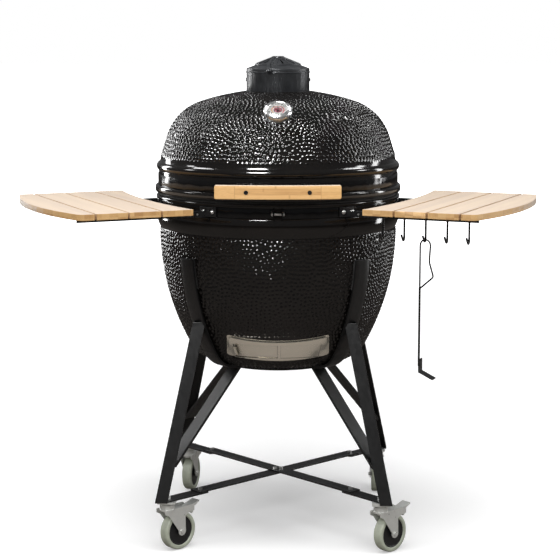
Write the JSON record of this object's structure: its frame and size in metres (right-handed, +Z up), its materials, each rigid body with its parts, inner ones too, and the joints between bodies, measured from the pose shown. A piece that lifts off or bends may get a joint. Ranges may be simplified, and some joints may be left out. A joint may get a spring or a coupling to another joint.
{
  "type": "kamado ceramic grill",
  "caption": "Egg-shaped charcoal grill with a bumpy black ceramic body, hinged lid, sliding air door, turning top vent, wooden side shelves and a wheeled steel cart.",
  "frame": {"origin": "on the floor, under the grill's own vertical axis", "axes": "+Z up, -Y is the front with the handle and thermometer, +X to the right as seen from the front; the shelves spread along X"},
  "size_m": [1.2904, 0.8294, 1.1921],
  "materials": {
    "glazed_ceramic": "gloss black glaze over a raised bump texture",
    "felt": "black felt",
    "black_steel": "satin black powder coat",
    "zinc_screws": "zinc plated",
    "fireclay": "unglazed fireclay",
    "cast_iron": "bare cast iron",
    "grid_steel": "satin stainless rod",
    "stainless": "polished stainless sheet",
    "bamboo": "oiled bamboo",
    "rubber_pad": "matt rubber",
    "zinc_plate": "bright zinc plated sheet",
    "bamboo_handle": "laminated bamboo",
    "bright_chrome": "polished chrome",
    "dial_paint": "matt printed dial face",
    "needle_paint": "red enamel",
    "clear_glass": "clear",
    "cast_vent": "satin black over cast metal",
    "hub_plastic": "dark moulded nylon",
    "grey_rubber": "grey green rubber"
  },
  "bodies": {
    "base": {"bowl": "glazed_ceramic", "base_gasket": "felt", "base_band": "black_steel", "base_bolts": "zinc_screws", "firebox": "fireclay", "fire_ring": "fireclay", "charcoal_grate": "cast_iron", "cooking_grid": "grid_steel", "draft_frame": "stainless", "hinge_base": "black_steel", "hinge_springs": "zinc_screws", "shelf_brackets": "black_steel", "shelf_arms": "black_steel", "right_slats": "bamboo", "left_slats": "bamboo", "slat_screws": "zinc_screws", "tool_hooks": "black_steel", "cradle": "black_steel", "cradle_pads": "rubber_pad", "legs": "black_steel", "struts": "black_steel", "brace_bar_a": "black_steel", "brace_bar_b": "black_steel", "cart_bolts": "zinc_screws", "caster_mounts": "zinc_plate"},
    "lid": {"lid": "glazed_ceramic", "lid_gasket": "felt", "lid_band": "black_steel", "lid_bolts": "zinc_screws", "hinge_lid": "black_steel", "hinge_pin": "zinc_screws", "lid_handle": "bamboo_handle", "handle_brackets": "black_steel", "thermometer_case": "bright_chrome", "thermometer_dial": "dial_paint", "thermometer_glass": "clear_glass", "vent_base": "cast_vent", "vent_pins": "zinc_screws"},
    "draft_door": {"draft_door": "stainless"},
    "draft_screen": {"draft_screen": "stainless"},
    "needle": {"thermometer_needle": "needle_paint"},
    "vent_cap": {"vent_cap": "cast_vent"},
    "vent_wheel": {"vent_wheel": "cast_vent"},
    "ash_tool": {"ash_tool": "black_steel"},
    "swivel_front_left": {"fork_front_left": "zinc_plate"},
    "wheel_front_left": {"hub_front_left": "hub_plastic", "tyre_front_left": "grey_rubber"},
    "swivel_front_right": {"fork_front_right": "zinc_plate"},
    "wheel_front_right": {"hub_front_right": "hub_plastic", "tyre_front_right": "grey_rubber"},
    "swivel_back_left": {"fork_back_left": "zinc_plate"},
    "wheel_back_left": {"hub_back_left": "hub_plastic", "tyre_back_left": "grey_rubber"},
    "swivel_back_right": {"fork_back_right": "zinc_plate"},
    "wheel_back_right": {"hub_back_right": "hub_plastic", "tyre_back_right": "grey_rubber"},
    "pedal_left": {"pedal_left": "zinc_plate"},
    "pedal_right": {"pedal_right": "zinc_plate"}
  },
  "joints": [
    {"name": "lid_hinge", "type": "hinge", "parent": "base", "child": "lid", "pos_m": [0, 0.345, 0.86], "axis": [-1, 0, 0], "range_deg": [0, 75]},
    {"name": "needle_turn", "type": "hinge", "parent": "lid", "child": "needle", "pos_m": [0, -0.2249, 1.06367], "axis": [0, -0.5592, 0.829], "range_deg": [-120, 120]},
    {"name": "vent_cap_hinge", "type": "hinge", "parent": "lid", "child": "vent_cap", "pos_m": [0, 0.087, 1.134], "axis": [-1, 0, 0], "range_deg": [0, 100]},
    {"name": "vent_wheel_turn", "type": "hinge", "parent": "vent_cap", "child": "vent_wheel", "pos_m": [0, 0, 1.17], "axis": [0, 0, 1], "range_deg": [0, 15]},
    {"name": "draft_door_slide", "type": "hinge", "parent": "base", "child": "draft_door", "pos_m": [0, 0, 0.489], "axis": [0, 0, 1], "range_deg": [0, 24]},
    {"name": "draft_screen_slide", "type": "hinge", "parent": "base", "child": "draft_screen", "pos_m": [0, 0, 0.489], "axis": [0, 0, 1], "range_deg": [0, 24]},
    {"name": "ash_tool_swing", "type": "hinge", "parent": "base", "child": "ash_tool", "pos_m": [0.33997, -0.33643, 0.7715], "axis": [0.4099, 0.9121, 0], "range_deg": [-20, 20]},
    {"name": "swivel_front_left", "type": "hinge", "parent": "base", "child": "swivel_front_left", "pos_m": [-0.26875, -0.24887, 0.112], "axis": [0, 0, 1], "continuous": true},
    {"name": "wheel_front_left", "type": "hinge", "parent": "swivel_front_left", "child": "wheel_front_left", "pos_m": [-0.24501, -0.22594, 0.047], "axis": [-0.6947, 0.7193, 0], "continuous": true},
    {"name": "swivel_front_right", "type": "hinge", "parent": "base", "child": "swivel_front_right", "pos_m": [0.24887, -0.26875, 0.112], "axis": [0, 0, 1], "continuous": true},
    {"name": "wheel_front_right", "type": "hinge", "parent": "swivel_front_right", "child": "wheel_front_right", "pos_m": [0.2726, -0.24583, 0.047], "axis": [-0.6947, 0.7193, 0], "continuous": true},
    {"name": "swivel_back_left", "type": "hinge", "parent": "base", "child": "swivel_back_left", "pos_m": [-0.24887, 0.26875, 0.112], "axis": [0, 0, 1], "continuous": true},
    {"name": "wheel_back_left", "type": "hinge", "parent": "swivel_back_left", "child": "wheel_back_left", "pos_m": [-0.24088, 0.30077, 0.047], "axis": [-0.9703, 0.2419, 0], "continuous": true},
    {"name": "swivel_back_right", "type": "hinge", "parent": "base", "child": "swivel_back_right", "pos_m": [0.26875, 0.24887, 0.112], "axis": [0, 0, 1], "continuous": true},
    {"name": "wheel_back_right", "type": "hinge", "parent": "swivel_back_right", "child": "wheel_back_right", "pos_m": [0.2699, 0.28185, 0.047], "axis": [-0.9994, 0.0349, 0], "continuous": true},
    {"name": "pedal_left", "type": "hinge", "parent": "swivel_front_left", "child": "pedal_left", "pos_m": [-0.22415, -0.2058, 0.096], "axis": [-0.6947, 0.7193, 0], "range_deg": [0, 12], "stiffness_Nm_per_rad": 0.5},
    {"name": "pedal_right", "type": "hinge", "parent": "swivel_front_right", "child": "pedal_right", "pos_m": [0.29347, -0.22568, 0.096], "axis": [-0.6947, 0.7193, 0], "range_deg": [0, 12], "stiffness_Nm_per_rad": 0.5}
  ]
}
